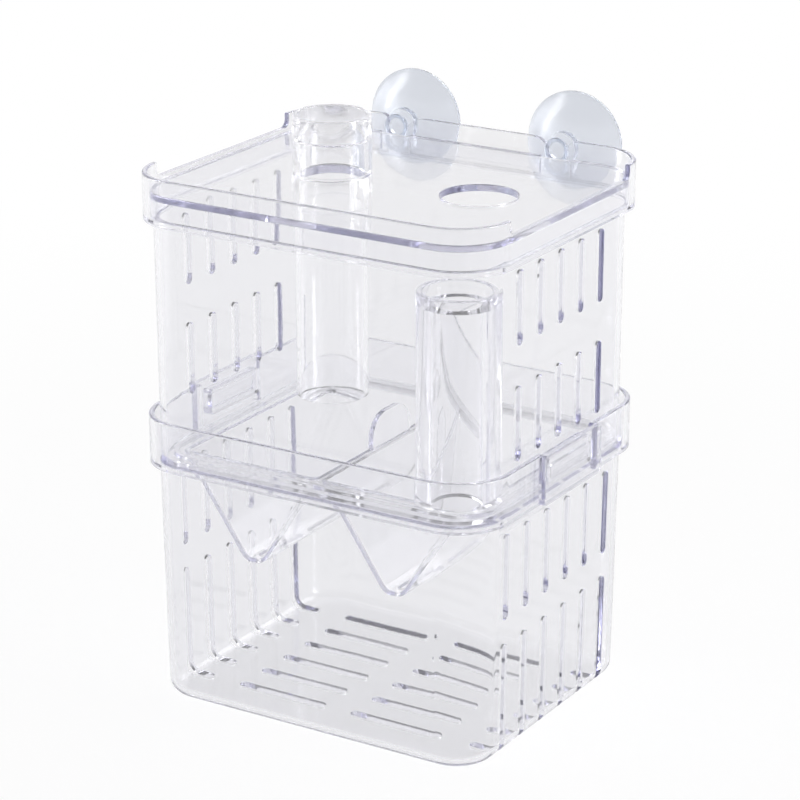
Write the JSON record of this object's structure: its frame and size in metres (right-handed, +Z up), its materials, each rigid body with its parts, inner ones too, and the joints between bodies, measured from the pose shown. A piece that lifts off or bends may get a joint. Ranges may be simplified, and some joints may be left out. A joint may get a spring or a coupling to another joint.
{
  "type": "fish breeding box",
  "caption": "Clear two-storey fish breeding box with slotted walls, a funnel tray, a lid with a feeding tube, and suction cups that hold it on a tank wall.",
  "frame": {"origin": "middle of the flat underside of the lower box", "axes": "+Z up; +X to the right seen from the front; the front faces -Y and the suction cups face +Y"},
  "size_m": [0.13, 0.1173, 0.1846],
  "materials": {
    "lower_box": "clear, polished",
    "upper_box": "clear, polished",
    "funnel_tray": "clear, polished",
    "lid": "clear, polished",
    "tubes": "clear, polished",
    "suction_cups": "soft clear PVC"
  },
  "bodies": {
    "lower_box": {"lower_box": "lower_box"},
    "upper_box": {"upper_box": "upper_box"},
    "funnel_tray": {"funnel_tray": "funnel_tray"},
    "lid": {"lid": "lid"},
    "feeding_tube": {"feeding_tube": "tubes"},
    "corner_tube": {"corner_tube": "tubes"},
    "suction_cup_left": {"suction_cup_left": "suction_cups"},
    "suction_cup_right": {"suction_cup_right": "suction_cups"}
  },
  "joints": [
    {"name": "upper_box_lift", "type": "slide", "parent": "lower_box", "child": "upper_box", "axis": [0, 0, 1], "range_m": [0, 0.06]},
    {"name": "lid_lift", "type": "slide", "parent": "upper_box", "child": "lid", "axis": [0, 0, 1], "range_m": [0, 0.08]},
    {"name": "feeding_tube_lift", "type": "slide", "parent": "lid", "child": "feeding_tube", "axis": [0, 0, 1], "range_m": [0, 0.08]},
    {"name": "funnel_tray_lift", "type": "slide", "parent": "upper_box", "child": "funnel_tray", "axis": [0, 0, 1], "range_m": [0, 0.01]},
    {"name": "corner_tube_lift", "type": "slide", "parent": "funnel_tray", "child": "corner_tube", "axis": [0, 0, 1], "range_m": [0, 0.005]},
    {"name": "suction_cup_left_lift", "type": "slide", "parent": "upper_box", "child": "suction_cup_left", "axis": [0, 0, 1], "range_m": [0, 0.012]},
    {"name": "suction_cup_right_lift", "type": "slide", "parent": "upper_box", "child": "suction_cup_right", "axis": [0, 0, 1], "range_m": [0, 0.012]}
  ]
}
